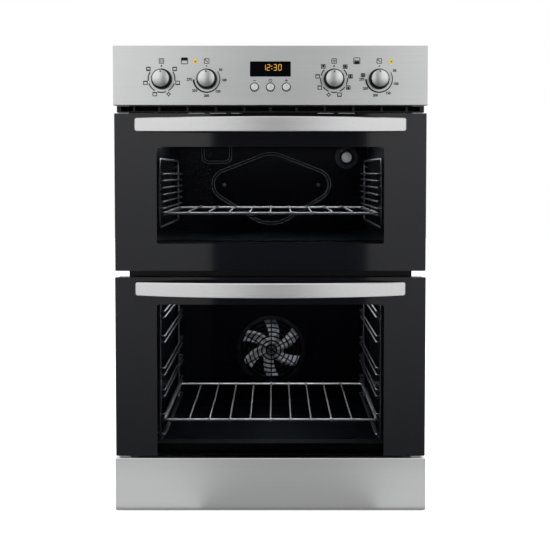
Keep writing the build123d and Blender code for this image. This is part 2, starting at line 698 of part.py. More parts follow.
with BuildPart() as bottom_trim:
    with BuildSketch(Plane.XZ.offset(-(y_face + 20))):
        with Locations((0, (trim_z0 + trim_z1) / 2)):
            RectangleRounded(width, trim_z1 - trim_z0, 1.5)
    extrude(amount=20)
    fillet(bottom_trim.faces().sort_by(Axis.Y)[0].edges(), 1.2)
    with BuildSketch(Plane.XZ.offset(-(y_face + sheet))):
        with Locations((0, (trim_z0 + trim_z1) / 2)):
            Rectangle(width - 2 * sheet, trim_z1 - trim_z0 - 2 * sheet)
    extrude(amount=-30, mode=Mode.SUBTRACT)
    # two brackets back to the front frame
    for x in (-230, 230):
        with BuildSketch(Plane.YZ.offset(x - 15)):
            with BuildLine():
                Polyline((y_face + sheet, 28), (y_face + sheet, 84), (y_frame, 84), (y_frame, 78), (y_face + sheet + 6, 78), (y_face + sheet + 6, 34), (y_frame, 34), (y_frame, 28), (y_face + sheet, 28))
            make_face()
        extrude(amount=30)
bottom_trim.part.label = "bottom_trim"
export_step(bottom_trim.part, "parts/bottom_trim.step")

# ---------------------------------------------------------------- rear terminal box, cooling fan
with BuildPart() as terminal_block:
    with BuildSketch(Plane.XZ.offset(-282.5)):
        with Locations((215, 60)):
            Rectangle(46, 30)
            Circle(7, mode=Mode.SUBTRACT)
    extrude(amount=-1.5)
    with BuildSketch(Plane.XZ.offset(-250)):
        with Locations((215, 60)):
            Rectangle(62, 44)
    extrude(amount=-32.5)
    with BuildSketch(Plane.XZ.offset(-250)):
        with Locations((215, 60)):
            Circle(7)
    extrude(amount=-34, mode=Mode.SUBTRACT)
terminal_block.part.label = "terminal_block"
export_step(terminal_block.part, "parts/terminal_block.step")

cool_y, cool_z = 120.0, 800.0
with BuildPart() as cooling_fan_housing:
    with BuildSketch(Plane.YZ.offset(-70)):
        with Locations((cool_y, cool_z)):
            Rectangle(110, 104)
            Circle(44, mode=Mode.SUBTRACT)
    extrude(amount=sheet)
    with BuildSketch(Plane.YZ.offset(70 - sheet)):
        with Locations((cool_y, cool_z)):
            Rectangle(110, 104)
            Circle(4.06, mode=Mode.SUBTRACT)
    extrude(amount=sheet)
    with BuildSketch(Plane.YZ.offset(-70 + sheet)):
        with Locations((cool_y, cool_z)):
            Rectangle(110, 104)
            Rectangle(107, 101, mode=Mode.SUBTRACT)
        with Locations((cool_y - 54, cool_z - 30)):
            Rectangle(4, 38, mode=Mode.SUBTRACT)
    extrude(amount=140 - 2 * sheet)
    # duct that leads the air forwards to the slots above the upper door
    with BuildSketch(Plane.XY.offset(746.8)):
        with BuildLine():
            Polyline((-70, 175), (-70, 65), (-240, -150), (-240, -236), (240, -236), (240, -150), (70, 65), (70, 175), (-70, 175))
        make_face()
    extrude(amount=1.2)
    # motor
    with BuildSketch(Plane.YZ.offset(70)):
        with Locations((cool_y, cool_z)):
            Circle(30)
            Circle(4.06, mode=Mode.SUBTRACT)
    extrude(amount=34)
cooling_fan_housing.part.label = "cooling_fan_housing"
export_step(cooling_fan_housing.part, "parts/cooling_fan_housing.step")

with BuildPart() as cooling_fan:
    with BuildSketch(Plane.YZ.offset(-60)):
        with Locations((cool_y, cool_z)):
            Circle(42)
            Circle(34, mode=Mode.SUBTRACT)
    extrude(amount=1.2)
    with BuildSketch(Plane.YZ.offset(58)):
        with Locations((cool_y, cool_z)):
            Circle(42)
    extrude(amount=1.2)
    with BuildSketch(Plane.YZ.offset(-60)):
        with Locations((cool_y, cool_z)):
            with PolarLocations(38, 24):
                Rectangle(6.5, 1.2, rotation=35)
    extrude(amount=119)
    with Locations(Plane((-30, cool_y, cool_z), x_dir=(0, 1, 0), z_dir=(1, 0, 0))):
        Cylinder(4, 125, align=(Align.CENTER, Align.CENTER, Align.MIN))
cooling_fan.part.label = "cooling_fan"
export_step(cooling_fan.part, "parts/cooling_fan.step")

# ---------------------------------------------------------------- hinges
for name, z0 in (("hinge_brackets_upper", up_z0), ("hinge_brackets_main", low_z0)):
    zp = z0 + pivot_in
    with BuildPart() as brackets:
        for x in (-hinge_x, hinge_x):
            with BuildSketch(Plane.YZ.offset(x - 4)):
                with Locations((pivot_y, zp)):
                    Circle(3.6)
                with Locations(((pivot_y + y_frame) / 2, zp)):
                    Rectangle(y_frame - pivot_y, 5.6)
                with Locations((pivot_y, zp)):
                    Circle(2.06, mode=Mode.SUBTRACT)
            extrude(amount=8)
            # foot against the front frame
            with BuildSketch(Plane.XZ.offset(-y_frame)):
                with Locations((x, zp + 4)):
                    RectangleRounded(16, 24, 2)
            extrude(amount=2)
    brackets.part.label = name
    export_step(brackets.part, "parts/" + name + ".step")

# ---------------------------------------------------------------- doors
for key, z0, z1, half, handle_z in (("upper", up_z0, up_z1, up_half, 738.8), ("main", low_z0, low_z1, low_half, 429.0)):
    zm, h = (z0 + z1) / 2, z1 - z0
    zp = z0 + pivot_in
    with BuildPart() as outer_glass:
        with BuildSketch(Plane.XZ.offset(-(glass_y + glass_t))):
            with Locations((0, zm)):
                RectangleRounded(2 * half, h, 2)
        extrude(amount=glass_t)
        chamfer(outer_glass.faces().sort_by(Axis.Y)[0].edges(), 0.7)
    outer_glass.part.label = key + "_door_glass"
    export_step(outer_glass.part, "parts/" + key + "_door_glass.step")

    in_z0, in_z1 = z0 + 12, z1 - 13.6
    with BuildPart() as inner_glass:
        with BuildSketch(Plane.XZ.offset(-(door_back + inner_t))):
            with Locations((0, (in_z0 + in_z1) / 2)):
                RectangleRounded(490, in_z1 - in_z0, 4)
        extrude(amount=inner_t)
    inner_glass.part.label = key + "_door_inner_glass"
    export_step(inner_glass.part, "parts/" + key + "_door_inner_glass.step")

    w0, w1 = z0 + (40 if key == "upper" else 24), z1 - 46  # window through the door frame
    deep = door_back - (glass_y + glass_t)
    with BuildPart() as door_frame:
        with BuildSketch(Plane.XZ.offset(-door_back)):
            with Locations((0, zm)):
                RectangleRounded(2 * half - 5, h - 3, 3)
            with Locations((0, (w0 + w1) / 2)):
                RectangleRounded(2 * 228, w1 - w0, 8, mode=Mode.SUBTRACT)
        extrude(amount=deep)
        # channel section, open towards the outer glass
        with BuildSketch(Plane.XZ.offset(-(door_back - sheet))):
            with Locations((0, zm)):
                Rectangle(2 * half - 5 - 2 * sheet, h - 3 - 2 * sheet)
            with Locations((0, (w0 + w1) / 2)):
                RectangleRounded(2 * 228 + 2 * sheet, w1 - w0 + 2 * sheet, 9.5, mode=Mode.SUBTRACT)
        extrude(amount=deep, mode=Mode.SUBTRACT)
        # hinge housings
        with BuildSketch(Plane.XZ.offset(-door_back)):
            with Locations((-hinge_x, z0 + 1.5 + 13), (hinge_x, z0 + 1.5 + 13)):
                Rectangle(24, 26)
        extrude(amount=deep)
        with BuildSketch(Plane.XZ.offset(-door_back)):
            with Locations((-hinge_x, zp + 14 - 20), (hinge_x, zp + 14 - 20)):
                Rectangle(12, 40)
        extrude(amount=deep + 1, mode=Mode.SUBTRACT)
        # the foot of each bracket clears the back of the door
        for x in (-hinge_x, hinge_x):
            with Locations(Plane((x - 9, pivot_y, zp), x_dir=(0, 1, 0), z_dir=(1, 0, 0))):
                Cylinder(2.0, 18, align=(Align.CENTER, Align.CENTER, Align.MIN))
    door_frame.part.label = key + "_door_frame"
    export_step(door_frame.part, "parts/" + key + "_door_frame.step")

    # handle: bar bowed forwards over its whole length, on two posts
    half_bar, bow, bar_t = 255.0, 33.0, 9.0
    y_mid = -330.0
    big_r = (half_bar**2 + bow**2) / (2 * bow)
    with BuildPart() as handle:
        with BuildSketch(Plane.XY.offset(handle_z - 20)):
            with BuildLine():
                ThreePointArc((-half_bar, y_mid + bow), (0, y_mid), (half_bar, y_mid + bow))
                Line((half_bar, y_mid + bow), (half_bar, y_mid + bow + bar_t))
                ThreePointArc((half_bar, y_mid + bow + bar_t), (0, y_mid + bar_t), (-half_bar, y_mid + bow + bar_t))
                Line((-half_bar, y_mid + bow + bar_t), (-half_bar, y_mid + bow))
            make_face()
        extrude(amount=40)
        with BuildSketch(Plane.XZ.offset(350)):
            with BuildLine():
                ThreePointArc((-half_bar, handle_z + 12.4), (0, handle_z + 13.8), (half_bar, handle_z + 12.4))
                Line((half_bar, handle_z + 12.4), (half_bar, handle_z - 12.4))
                ThreePointArc((half_bar, handle_z - 12.4), (0, handle_z - 13.8), (-half_bar, handle_z - 12.4))
                Line((-half_bar, handle_z - 12.4), (-half_bar, handle_z + 12.4))
            make_face()
        extrude(amount=-80, mode=Mode.INTERSECT)
        fillet(handle.edges().filter_by(Axis.Y), 4.0)
        chamfer(handle.faces().sort_by(Axis.Y)[0].edges(), 1.2)
        for x in (-232.0, 232.0):
            y_in = y_mid + bar_t + big_r - (big_r**2 - x**2) ** 0.5
            with BuildSketch(Plane.XZ.offset(-glass_y)):
                with Locations((x, handle_z)):
                    RectangleRounded(26, 16, 4)
            extrude(amount=glass_y - y_in + 3)
    handle.part.label = key + "_handle"
    export_step(handle.part, "parts/" + key + "_handle.step")

# ---------------------------------------------------------------- fixing screws of the frame and the covers
with BuildPart() as screws:
    with Locations(Plane.XZ.offset(-y_frame)):
        with Locations(*[(x, z) for x in (-251, 251) for z in (140, 300, 420, 540, 640, 740)]):
            Cylinder(3.6, 1.8, align=(Align.CENTER, Align.CENTER, Align.MIN))
    with Locations(Plane.XZ.offset(-y_back)):
        with Locations(*[(x, z) for x in (-262, 262) for z in (20, 220, 430, 640, 850)]):
            Cylinder(3.6, 1.6, align=(Align.CENTER, Align.CENTER, Align.MAX))
screws.part.label = "screws"
export_step(screws.part, "parts/screws.step")
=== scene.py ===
import json
import math
import random

import bmesh
import bpy
from mathutils import Matrix, Vector

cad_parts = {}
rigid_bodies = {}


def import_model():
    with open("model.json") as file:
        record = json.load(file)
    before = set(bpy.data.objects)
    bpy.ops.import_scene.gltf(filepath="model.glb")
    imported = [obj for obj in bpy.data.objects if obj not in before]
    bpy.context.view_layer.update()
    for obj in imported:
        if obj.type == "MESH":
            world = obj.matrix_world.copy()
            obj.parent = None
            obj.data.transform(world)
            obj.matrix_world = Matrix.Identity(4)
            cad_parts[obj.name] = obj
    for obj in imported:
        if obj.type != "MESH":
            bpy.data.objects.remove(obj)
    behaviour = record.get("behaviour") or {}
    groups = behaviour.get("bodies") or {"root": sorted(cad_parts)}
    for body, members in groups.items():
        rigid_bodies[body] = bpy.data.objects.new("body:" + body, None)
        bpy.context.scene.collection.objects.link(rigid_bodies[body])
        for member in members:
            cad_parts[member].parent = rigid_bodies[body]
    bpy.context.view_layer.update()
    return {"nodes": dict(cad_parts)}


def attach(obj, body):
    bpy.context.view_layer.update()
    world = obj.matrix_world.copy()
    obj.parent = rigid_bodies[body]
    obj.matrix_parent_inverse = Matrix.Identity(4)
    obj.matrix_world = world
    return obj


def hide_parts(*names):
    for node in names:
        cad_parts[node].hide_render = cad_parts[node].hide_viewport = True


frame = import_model()
random.seed(7)
NODES = frame["nodes"]
FACE = -0.284
mm = 0.001


# ------------------------------------------------------------------ materials
def new_mat(name):
    m = bpy.data.materials.new(name)
    m.use_nodes = True
    nt = m.node_tree
    p = nt.nodes["Principled BSDF"]
    return m, nt, p


def node(nt, kind, **inputs):
    n = nt.nodes.new(kind)
    for k, v in inputs.items():
        n.inputs[k.replace("_", " ")].default_value = v
    return n


def coords(nt, scale=(1, 1, 1), rot=(0, 0, 0)):
    tc = nt.nodes.new("ShaderNodeTexCoord")
    mp = nt.nodes.new("ShaderNodeMapping")
    mp.inputs["Scale"].default_value = scale
    mp.inputs["Rotation"].default_value = rot
    nt.links.new(tc.outputs["Object"], mp.inputs["Vector"])
    return mp.outputs["Vector"]


def noise(nt, vec, scale, detail=3.0, rough=0.55):
    n = nt.nodes.new("ShaderNodeTexNoise")
    n.inputs["Scale"].default_value = scale
    n.inputs["Detail"].default_value = detail
    n.inputs["Roughness"].default_value = rough
    nt.links.new(vec, n.inputs["Vector"])
    return n.outputs["Fac"]


def ramp(nt, fac, stops):
    r = nt.nodes.new("ShaderNodeValToRGB")
    el = r.color_ramp.elements
    while len(el) > 1:
        el.remove(el[-1])
    el[0].position, c = stops[0][0], stops[0][1]
    el[0].color = (c, c, c, 1) if isinstance(c, (int, float)) else (*c, 1)
    for pos, c in stops[1:]:
        e = el.new(pos)
        e.color = (c, c, c, 1) if isinstance(c, (int, float)) else (*c, 1)
    nt.links.new(fac, r.inputs["Fac"])
    return r.outputs["Color"]


def to_range(nt, fac, lo, hi):
    r = nt.nodes.new("ShaderNodeMapRange")
    r.inputs["To Min"].default_value = lo
    r.inputs["To Max"].default_value = hi
    nt.links.new(fac, r.inputs["Value"])
    return r.outputs["Result"]


def bump(nt, p, height, strength, distance):
    b = nt.nodes.new("ShaderNodeBump")
    b.inputs["Strength"].default_value = strength
    b.inputs["Distance"].default_value = distance
    nt.links.new(height, b.inputs["Height"])
    nt.links.new(b.outputs["Normal"], p.inputs["Normal"])


def brushed(name, colour, rough=0.24, grain=(6, 6, 1400), spread=0.06, aniso=0.6, strength=0.05, tone=1.0):
    """Rolled steel with a fine grain. grain is largest across the lines."""
    m, nt, p = new_mat(name)
    p.inputs["Metallic"].default_value = 1.0
    p.inputs["Anisotropic"].default_value = aniso
    v = coords(nt, grain)
    f = noise(nt, v, 1.0, 4.0, 0.6)
    wide = noise(nt, coords(nt, (3, 3, 5)), 2.0, 2.0)
    c = ramp(nt, f, [(0.25, tuple(x * (1 - 0.07 * tone) for x in colour)), (0.75, tuple(min(1, x * (1 + 0.05 * tone)) for x in colour))])
    nt.links.new(c, p.inputs["Base Color"])
    mixn = nt.nodes.new("ShaderNodeMath")
    mixn.operation = "MULTIPLY_ADD"
    mixn.inputs[1].default_value = 0.5
    nt.links.new(f, mixn.inputs[0])
    nt.links.new(to_range(nt, wide, 0.0, 0.5), mixn.inputs[2])
    nt.links.new(to_range(nt, mixn.outputs[0], rough - spread, rough + spread), p.inputs["Roughness"])
    bump(nt, p, f, strength, 0.0004)
    return m


def enamel(name, colour, rough, speck=0.0, coat=0.0, spec=0.5, bump_size=0.0):
    m, nt, p = new_mat(name)
    v = coords(nt)
    f = noise(nt, v, 900.0, 2.0)
    hi = tuple(min(1, x + speck) for x in colour)
    c = ramp(nt, f, [(0.0, colour), (0.63, colour), (0.70, hi)])
    nt.links.new(c, p.inputs["Base Color"])
    p.inputs["Specular IOR Level"].default_value = spec
    p.inputs["Coat Weight"].default_value = coat
    p.inputs["Coat Roughness"].default_value = 0.05
    w = noise(nt, v, 25.0, 3.0)
    nt.links.new(to_range(nt, w, rough * 0.85, rough * 1.15), p.inputs["Roughness"])
    if bump_size:
        bump(nt, p, noise(nt, v, 220.0, 3.0), 0.25, bump_size)
    return m


def plated(name, colour, rough, scale=60):
    """Metal with soft blotches and small scratches."""
    m, nt, p = new_mat(name)
    p.inputs["Metallic"].default_value = 1.0
    v = coords(nt)
    f = noise(nt, v, scale, 4.0)
    c = ramp(nt, f, [(0.3, tuple(x * 0.86 for x in colour)), (0.7, colour)])
    nt.links.new(c, p.inputs["Base Color"])
    nt.links.new(to_range(nt, noise(nt, v, scale * 4, 3.0), rough * 0.8, rough * 1.3), p.inputs["Roughness"])
    return m


def glass(name, tint, mirror, rough=0.02):
    """A flat pane that is looked through: clear with a tint, and a little mirror."""
    m = bpy.data.materials.new(name)
    m.use_nodes = True
    nt = m.node_tree
    nt.nodes.clear()
    out = nt.nodes.new("ShaderNodeOutputMaterial")
    mix = nt.nodes.new("ShaderNodeMixShader")
    tr = nt.nodes.new("ShaderNodeBsdfTransparent")
    tr.inputs["Color"].default_value = (*tint, 1)
    gl = nt.nodes.new("ShaderNodeBsdfGlossy")
    gl.inputs["Roughness"].default_value = rough
    gl.inputs["Color"].default_value = (0.9, 0.93, 1.0, 1)
    fr = nt.nodes.new("ShaderNodeFresnel")
    fr.inputs["IOR"].default_value = mirror
    nt.links.new(fr.outputs[0], mix.inputs[0])
    nt.links.new(tr.outputs[0], mix.inputs[1])
    nt.links.new(gl.outputs[0], mix.inputs[2])
    nt.links.new(mix.outputs[0], out.inputs["Surface"])
    return m


def glow(name, colour, strength, base=None):
    m, nt, p = new_mat(name)
    p.inputs["Base Color"].default_value = (*(base or colour), 1)
    p.inputs["Emission Color"].default_value = (*colour, 1)
    p.inputs["Emission Strength"].default_value = strength
    p.inputs["Roughness"].default_value = 0.3
    return m


STEEL = brushed("steel_panel", (0.55, 0.555, 0.555), rough=0.30, grain=(5, 5, 1300), spread=0.04, strength=0.03, tone=0.7)
BAR = brushed("steel_bar", (0.54, 0.54, 0.545), rough=0.30, grain=(5, 900, 900), strength=0.04)
# the main handle gets a lighter copy of the handle steel: painted light, standing in for the brighter reflection it
# catches
BAR_LOW_PAINTED_LIGHT = brushed("steel_bar_low", (0.72, 0.72, 0.725), rough=0.30, grain=(5, 900, 900), strength=0.04)
CAP = brushed("steel_cap", (0.55, 0.555, 0.56), rough=0.32, grain=(6, 6, 1500), spread=0.03, aniso=0.0, strength=0.02)
# the bottom trim gets a lighter copy of the panel steel: painted light, standing in for the pale floor it reflects
TRIM_PAINTED_LIGHT = brushed("steel_trim", (0.70, 0.705, 0.705), rough=0.34, grain=(5, 5, 1300), spread=0.02, strength=0.01, tone=0.4)
BUTTON = plated("silver_button", (0.84, 0.845, 0.85), 0.36, 90)
PLASTIC = enamel("black_plastic", (0.006, 0.006, 0.0065), 0.42, speck=0.006, spec=0.3, bump_size=0.00005)
FRAME_BLACK = enamel("black_frame", (0.004, 0.004, 0.0045), 0.34, speck=0.008, spec=0.22)
CAVITY = enamel("cavity_enamel", (0.0007, 0.0008, 0.0020), 0.30, speck=0.004, spec=0.09)
ZINC = plated("zinc_sheet", (0.55, 0.56, 0.575), 0.38, 26)
SCREW = plated("zinc_screw", (0.5, 0.5, 0.51), 0.3, 120)
WIRE = plated("wire_plating", (0.78, 0.77, 0.75), 0.40, 150)
RACKWIRE = plated("rack_plating", (0.30, 0.30, 0.31), 0.36, 150)
# light grey for the painted highlights on the edges of the relief in the upper oven
EDGE_PAINTED_HIGHLIGHT = enamel("enamel_edge", (0.22, 0.225, 0.23), 0.4, speck=0.01, spec=0.3)
MATT = enamel("matt_black", (0.0022, 0.0022, 0.0026), 0.6, spec=0.06)
FANSTEEL = plated("fan_steel", (0.46, 0.46, 0.48), 0.28, 80)
# light grey standing in for the light on the steel fan blades: painted light
BLADE_PAINTED_LIGHT = enamel("fan_blade", (0.80, 0.80, 0.81), 0.4, speck=0.04)
GRILLE = plated("fan_grille", (0.035, 0.035, 0.04), 0.34, 80)
SHEATH = plated("element_sheath", (0.14, 0.13, 0.13), 0.45, 100)
SEAL = enamel("seal", (0.02, 0.02, 0.021), 0.75, speck=0.02, bump_size=0.0004)
PANE = glass("door_pane", (0.60, 0.61, 0.63), 1.06, 0.01)
INNER_PANE = glass("inner_pane", (0.95, 0.955, 0.96), 1.05, 0.02)
DISPLAY = enamel("display_glass", (0.0012, 0.0012, 0.0018), 0.06, spec=0.14)
LENS = glass("lamp_glass", (0.9, 0.9, 0.88), 1.45, 0.12)
BULB = glow("bulb_glass", (0.9, 0.9, 0.88), 0.16, (0.75, 0.75, 0.73))
AMBER = glow("amber_lens", (1.0, 0.56, 0.03), 0.0, (0.42, 0.285, 0.010))
DIGIT = glow("amber_digit", (1.0, 0.56, 0.045), 0.62, (0.3, 0.15, 0.0))
INK = enamel("panel_ink", (0.006, 0.006, 0.007), 0.5, spec=0.08)
PRINT = enamel("glass_print", (0.0034, 0.0036, 0.0046), 0.06, spec=0.30)

LOOK = {
    "fascia": STEEL, "bottom_trim": TRIM_PAINTED_LIGHT,
    "upper_handle": BAR, "main_handle": BAR_LOW_PAINTED_LIGHT,
    "knob_cap_1": CAP, "knob_cap_2": CAP, "knob_cap_3": CAP, "knob_cap_4": CAP,
    "button_minus": BUTTON, "button_clock": BUTTON, "button_plus": BUTTON,
    "knob_core_1": PLASTIC, "knob_core_2": PLASTIC, "knob_core_3": PLASTIC, "knob_core_4": PLASTIC,
    "vent_trim": PLASTIC, "timer_module": PLASTIC, "selector_switches": PLASTIC, "terminal_block": PLASTIC,
    "upper_door_glass": PANE, "main_door_glass": PANE,
    "upper_door_inner_glass": INNER_PANE, "main_door_inner_glass": INNER_PANE,
    "display_lens": DISPLAY, "indicator_lenses": AMBER,
    "upper_door_frame": FRAME_BLACK, "main_door_frame": FRAME_BLACK, "front_frame": FRAME_BLACK, "front_rails": FRAME_BLACK,
    "upper_cavity": CAVITY, "upper_cavity_back": CAVITY, "main_cavity": CAVITY, "main_cavity_back": CAVITY,
    "base_plate": ZINC, "side_panel_left": ZINC, "side_panel_right": ZINC, "rear_cover": ZINC, "top_cover": ZINC,
    "control_chassis": ZINC, "cooling_fan_housing": ZINC,
    "upper_rack_left": RACKWIRE, "upper_rack_right": RACKWIRE, "main_rack_left": RACKWIRE, "main_rack_right": RACKWIRE,
    "upper_shelf": WIRE, "main_shelf": WIRE, "upper_lamp_bezel": GRILLE, "upper_lamp_lens": LENS,
    "fan_cover": GRILLE, "convection_fan": FANSTEEL, "cooling_fan": FANSTEEL, "fan_motor": FANSTEEL,
    "ring_element": SHEATH, "upper_grill_element": SHEATH, "main_grill_element": SHEATH,
    "gasket_upper": SEAL, "gasket_main": SEAL,
    "screws": SCREW, "hinge_brackets_upper": SCREW, "hinge_brackets_main": SCREW,
}
for name, o in NODES.items():
    o.data.materials.clear()
    o.data.materials.append(LOOK.get(name, ZINC))


# ------------------------------------------------------------------ mesh helpers
def piece(name, bm, mat, body, smooth=False):
    me = bpy.data.meshes.new(name)
    bmesh.ops.recalc_face_normals(bm, faces=bm.faces)
    bm.to_mesh(me)
    bm.free()
    o = bpy.data.objects.new(name, me)
    bpy.context.scene.collection.objects.link(o)
    me.materials.append(mat)
    if smooth:
        for f in me.polygons:
            f.use_smooth = True
    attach(o, body)
    return o


def plate(bm, outline, y0, y1, holes=()):
    """A thin plate in the XZ plane between y0 and y1, outline and holes as lists of (x, z)."""
    from mathutils.geometry import tessellate_polygon

    loops = [outline, *holes]
    flat = [p for lp in loops for p in lp]
    tris = tessellate_polygon([[Vector((x, z, 0)) for x, z in lp] for lp in loops])
    front = [bm.verts.new((x, y0, z)) for x, z in flat]
    back = [bm.verts.new((x, y1, z)) for x, z in flat]
    for t in tris:
        try:
            bm.faces.new([front[i] for i in t])
            bm.faces.new([back[i] for i in reversed(t)])
        except ValueError:
            pass
    k = 0
    for lp in loops:
        n = len(lp)
        for i in range(n):
            a, b = k + i, k + (i + 1) % n
            bm.faces.new([front[a], front[b], back[b], back[a]])
        k += n


def ring_pts(cx, cz, r, a0=0.0, a1=360.0, n=48):
    return [(cx + r * math.sin(math.radians(a0 + (a1 - a0) * i / n)), cz + r * math.cos(math.radians(a0 + (a1 - a0) * i / n))) for i in range(n + 1)]


def circle(cx, cz, r, n=40):
    return ring_pts(cx, cz, r, 0, 360, n)[:-1]


def rounded(cx, cz, w, h, r, n=6):
    pts = []
    for sx, sz, a in ((1, 1, 0), (1, -1, 90), (-1, -1, 180), (-1, 1, 270)):
        ox, oz = cx + sx * (w / 2 - r), cz + sz * (h / 2 - r)
        for i in range(n + 1):
            t = math.radians(a + 90 * i / n)
            pts.append((ox + r * math.sin(t), oz + r * math.cos(t)))
    return pts


Y0, Y1 = FACE - 0.00012, FACE - 0.00001


def ink(bm, outline, holes=(), y0=Y0, y1=Y1):
    plate(bm, outline, y0, y1, holes)


def arc(bm, cx, cz, r, a0, a1, w0, w1=None):
    """A printed arc from a0 to a1 degrees clockwise from the top, w0 wide at its start and w1 at its end."""
    w1 = w0 if w1 is None else w1
    n = max(6, int(abs(a1 - a0) / 2))
    out, inn = [], []
    for i in range(n + 1):
        t = i / n
        a = math.radians(a0 + (a1 - a0) * t)
        w = w0 + (w1 - w0) * t
        out.append((cx + (r + w / 2) * math.sin(a), cz + (r + w / 2) * math.cos(a)))
        inn.append((cx + (r - w / 2) * math.sin(a), cz + (r - w / 2) * math.cos(a)))
    ink(bm, out + inn[::-1])


def bar(bm, x0, z0, x1, z1, w):
    d = Vector((x1 - x0, z1 - z0))
    n = Vector((-d.y, d.x)).normalized() * (w / 2)
    ink(bm, [(x0 + n.x, z0 + n.y), (x1 + n.x, z1 + n.y), (x1 - n.x, z1 - n.y), (x0 - n.x, z0 - n.y)])


def box_line(bm, cx, cz, w, h, t, r=0.0006):
    ink(bm, rounded(cx, cz, w, h, r), [rounded(cx, cz, w - 2 * t, h - 2 * t, max(0.0002, r - t))])


def text(bm, s, cx, cz, size, y0=Y0, y1=Y1):
    cu = bpy.data.curves.new("t", "FONT")
    cu.body = s
    cu.size = size
    cu.align_x = "CENTER"
    cu.align_y = "CENTER"
    cu.resolution_u = 3
    cu.extrude = (y1 - y0) / 2
    cu.offset = 0.00032
    o = bpy.data.objects.new("t", cu)
    bpy.context.scene.collection.objects.link(o)
    bpy.context.view_layer.update()
    me = bpy.data.meshes.new_from_object(o.evaluated_get(bpy.context.evaluated_depsgraph_get()))
    me.transform(Matrix.Translation((cx, (y0 + y1) / 2, cz)) @ Matrix.Rotation(math.radians(90), 4, "X"))
    bm.from_mesh(me)
    bpy.data.objects.remove(o)
    bpy.data.curves.remove(cu)
    bpy.data.meshes.remove(me)


# ------------------------------------------------------------------ printed marks on the panel
KZ = 0.825
bm = bmesh.new()


def mode_icon(kind, cx, cz, s=0.0086):
    """Small square oven symbols: which heat is on."""
    t = s * 0.17
    if kind == "lamp":
        ink(bm, circle(cx, cz, s * 0.36, 20), [circle(cx, cz, s * 0.20, 20)])
        for a in range(0, 360, 90):
            x, z = math.sin(math.radians(a)), math.cos(math.radians(a))
            bar(bm, cx + x * s * 0.34, cz + z * s * 0.34, cx + x * s * 0.54, cz + z * s * 0.54, t)
        return
    box_line(bm, cx, cz, s, s * 0.92, t)
    if "g" in kind:
        n = 4
        for i in range(n):
            x0 = cx - s * 0.34 + i * s * 0.68 / n
            bar(bm, x0, cz + s * 0.25, x0 + s * 0.085, cz + s * 0.32, t)
            bar(bm, x0 + s * 0.085, cz + s * 0.32, x0 + s * 0.17, cz + s * 0.25, t)
    if "t" in kind:
        bar(bm, cx - s * 0.34, cz + s * 0.30, cx + s * 0.34, cz + s * 0.30, t)
    if "b" in kind:
        bar(bm, cx - s * 0.34, cz - s * 0.30, cx + s * 0.34, cz - s * 0.30, t)
    if "f" in kind:
        for a in (45, 135, 225, 315):
            x, z = math.sin(math.radians(a)), math.cos(math.radians(a))
            bar(bm, cx, cz, cx + x * s * 0.24, cz + z * s * 0.24, t * 1.5)
    if "r" in kind:
        ink(bm, circle(cx, cz, s * 0.33, 24), [circle(cx, cz, s * 0.26, 24)])
    if "d" in kind:
        for dx in (-0.18, 0, 0.18):
            bar(bm, cx + dx * s, cz - s * 0.1, cx + dx * s, cz - s * 0.28, t)


def around(cx, deg, r):
    return cx + r * math.sin(math.radians(deg)), KZ + r * math.cos(math.radians(deg))


R_ARC, R_TXT = 0.0252, 0.0312
# function selectors
for cx, stops in (
    (-0.205, [(52.8, "tb"), (103.6, "b"), (155, "lamp"), (204.3, "t"), (256.5, "g"), (307.3, "gd")]),
    (0.120, [(42, "fr"), (81, "tbf"), (121, "bf"), (161, "b"), (199, "lamp"), (239, "t"), (279, "g"), (319, "gf")]),
):
    for deg, kind in stops:
        x, z = around(cx, deg, R_TXT)
        mode_icon(kind, x, z)
    marks = [0.0] + [d for d, _ in stops] + [360.0]
    for a, b in zip(marks, marks[1:]):
        if a > 0 and b < 360:
            arc(bm, cx, KZ, R_ARC, a + 5.5, b - 5.5, 0.0020)
    ink(bm, circle(cx, KZ + 0.0243, 0.0016, 20))
    box_line(bm, cx, KZ + 0.0337, 0.0100, 0.0100, 0.0012, 0.0014)
    if cx < 0:
        for dx in (-0.0018, 0.0018):
            box_line(bm, cx + dx, KZ + 0.0337, 0.0026, 0.0062, 0.0007, 0.0012)
    else:
        ink(bm, circle(cx, KZ + 0.0337, 0.0026, 24), [circle(cx, KZ + 0.0337, 0.0017, 24)])
        ink(bm, circle(cx, KZ + 0.0337, 0.0009, 16))
# temperature selectors
for cx, stops in (
    (-0.120, [(57, "50"), (94, "100"), (138, "150"), (181, "200"), (226, "250"), (268, "275")]),
    (0.205, [(62, "50"), (106, "100"), (148, "150"), (193, "200"), (235, "250"), (268.5, "275")]),
):
    for deg, s in stops:
        r = R_TXT + (0.0016 if 60 < deg % 180 < 120 else 0.0003)
        x, z = around(cx, deg, r)
        text(bm, s, x, z, 0.0065)
        x, z = around(cx, deg, R_ARC)
        bar(bm, *around(cx, deg, R_ARC - 0.0014), *around(cx, deg, R_ARC + 0.0014), 0.0006)
    arc(bm, cx, KZ, R_ARC - 0.0004, stops[0][0], 268, 0.0013, 0.0034)
    ink(bm, circle(cx, KZ + 0.0243, 0.0013, 20))
    box_line(bm, cx, KZ + 0.0337, 0.0100, 0.0100, 0.0012, 0.0014)
    bar(bm, cx - 0.0026, KZ + 0.0337 + 0.0024, cx + 0.0024, KZ + 0.0337 - 0.0022, 0.0012)
    ink(bm, circle(cx - 0.0022, KZ + 0.0337 + 0.0020, 0.0012, 16))
mode_icon("fr", 0.205 - 0.0306, KZ + 0.0070, 0.0082)

